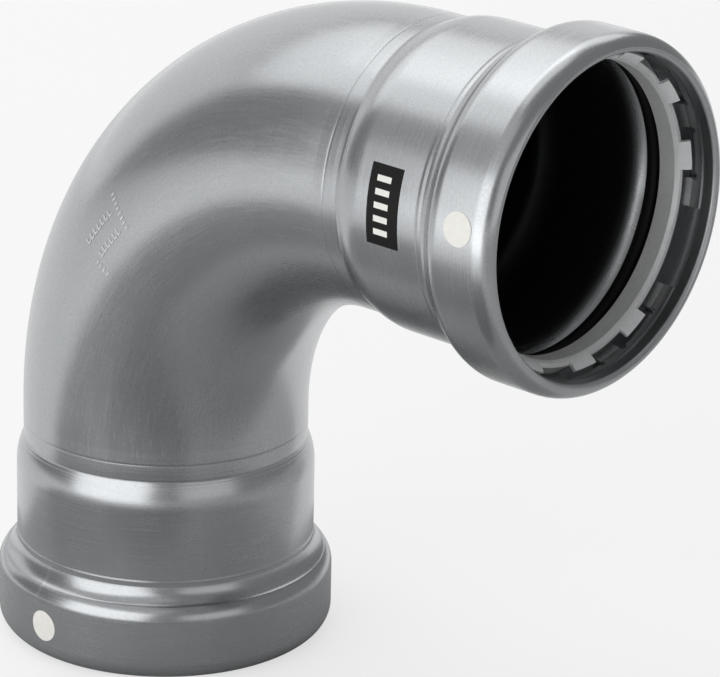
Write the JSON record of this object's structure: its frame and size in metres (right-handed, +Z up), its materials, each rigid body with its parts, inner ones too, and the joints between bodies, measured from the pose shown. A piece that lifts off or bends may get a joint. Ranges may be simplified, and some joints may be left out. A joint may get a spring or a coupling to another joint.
{
  "type": "press fit elbow fitting",
  "caption": "Right-angle steel press elbow: a bent tube with a beaded pipe socket at each end, each bead holding a rubber seal, a separator ring and a toothed grip ring.",
  "frame": {"origin": "on the lower socket's axis at the inner end of its bore, where the wall narrows to the pipe stop", "axes": "the lower mouth faces -Z and the upper mouth faces +X, with +Z up, and the bend lies in the XZ plane"},
  "size_m": [0.1939, 0.09, 0.1939],
  "materials": {
    "zinc_nickel_steel": "formed carbon steel tube with a satin zinc-nickel coating",
    "seal_rubber": "moulded black rubber",
    "ring_stainless": "bright pressed stainless sheet",
    "grip_stainless": "hardened stainless strip, darker than the separator ring",
    "mark_paint": "thin painted marks",
    "label_black": "blank printed patch"
  },
  "bodies": {
    "root": {"elbow_body": "zinc_nickel_steel", "lower_seal": "seal_rubber", "lower_separator_ring": "ring_stainless", "lower_grip_ring": "grip_stainless", "upper_seal": "seal_rubber", "upper_separator_ring": "ring_stainless", "upper_grip_ring": "grip_stainless"}
  },
  "joints": []
}
